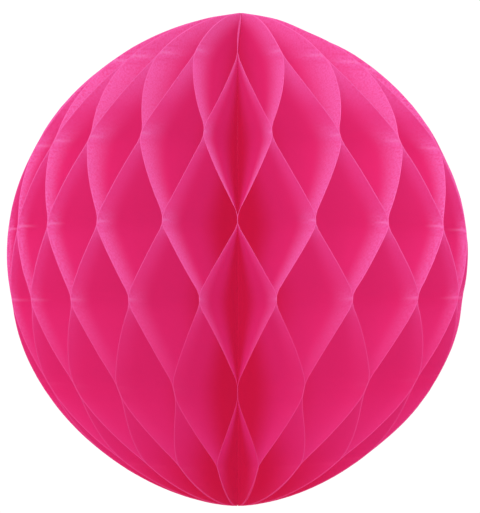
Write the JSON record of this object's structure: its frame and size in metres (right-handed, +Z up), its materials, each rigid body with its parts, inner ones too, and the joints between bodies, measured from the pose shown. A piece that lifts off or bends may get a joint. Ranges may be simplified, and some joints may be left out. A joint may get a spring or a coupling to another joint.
{
  "type": "honeycomb paper ball",
  "caption": "Round hanging decoration: thin pink tissue leaves, glued to each other in stripes, fan out round a bound upright spine into rows of diamond cells.",
  "frame": {"origin": "the ball's centre, halfway up its spine", "axes": "+Z up the spine, through both poles. -Y is the front that the picture shows, and +X is to its right"},
  "size_m": [0.1864, 0.1867, 0.1988],
  "materials": {
    "tissue": "matt translucent tissue paper",
    "card": "matt coloured card",
    "tape": "satin double-sided tape",
    "thread": "dull stitching thread"
  },
  "bodies": {
    "root": {"leaf_01": "tissue", "leaf_02": "tissue", "leaf_03": "tissue", "leaf_04": "tissue", "leaf_05": "tissue", "leaf_06": "tissue", "leaf_07": "tissue", "leaf_08": "tissue", "leaf_09": "tissue", "leaf_10": "tissue", "leaf_11": "tissue", "leaf_12": "tissue", "leaf_13": "tissue", "leaf_14": "tissue", "leaf_15": "tissue", "leaf_16": "tissue", "leaf_17": "tissue", "leaf_18": "tissue", "leaf_19": "tissue", "leaf_20": "tissue", "leaf_21": "tissue", "leaf_22": "tissue", "leaf_23": "tissue", "leaf_24": "tissue", "leaf_25": "tissue", "leaf_26": "tissue", "leaf_27": "tissue", "leaf_28": "tissue", "leaf_29": "tissue", "leaf_30": "tissue", "leaf_31": "tissue", "leaf_32": "tissue", "leaf_33": "tissue", "leaf_34": "tissue", "leaf_35": "tissue", "leaf_36": "tissue", "leaf_37": "tissue", "leaf_38": "tissue", "leaf_39": "tissue", "leaf_40": "tissue", "cover_card_left": "card", "cover_card_right": "card", "tape_strip_upper": "tape", "tape_strip_lower": "tape", "spine_binding": "thread"}
  },
  "joints": []
}
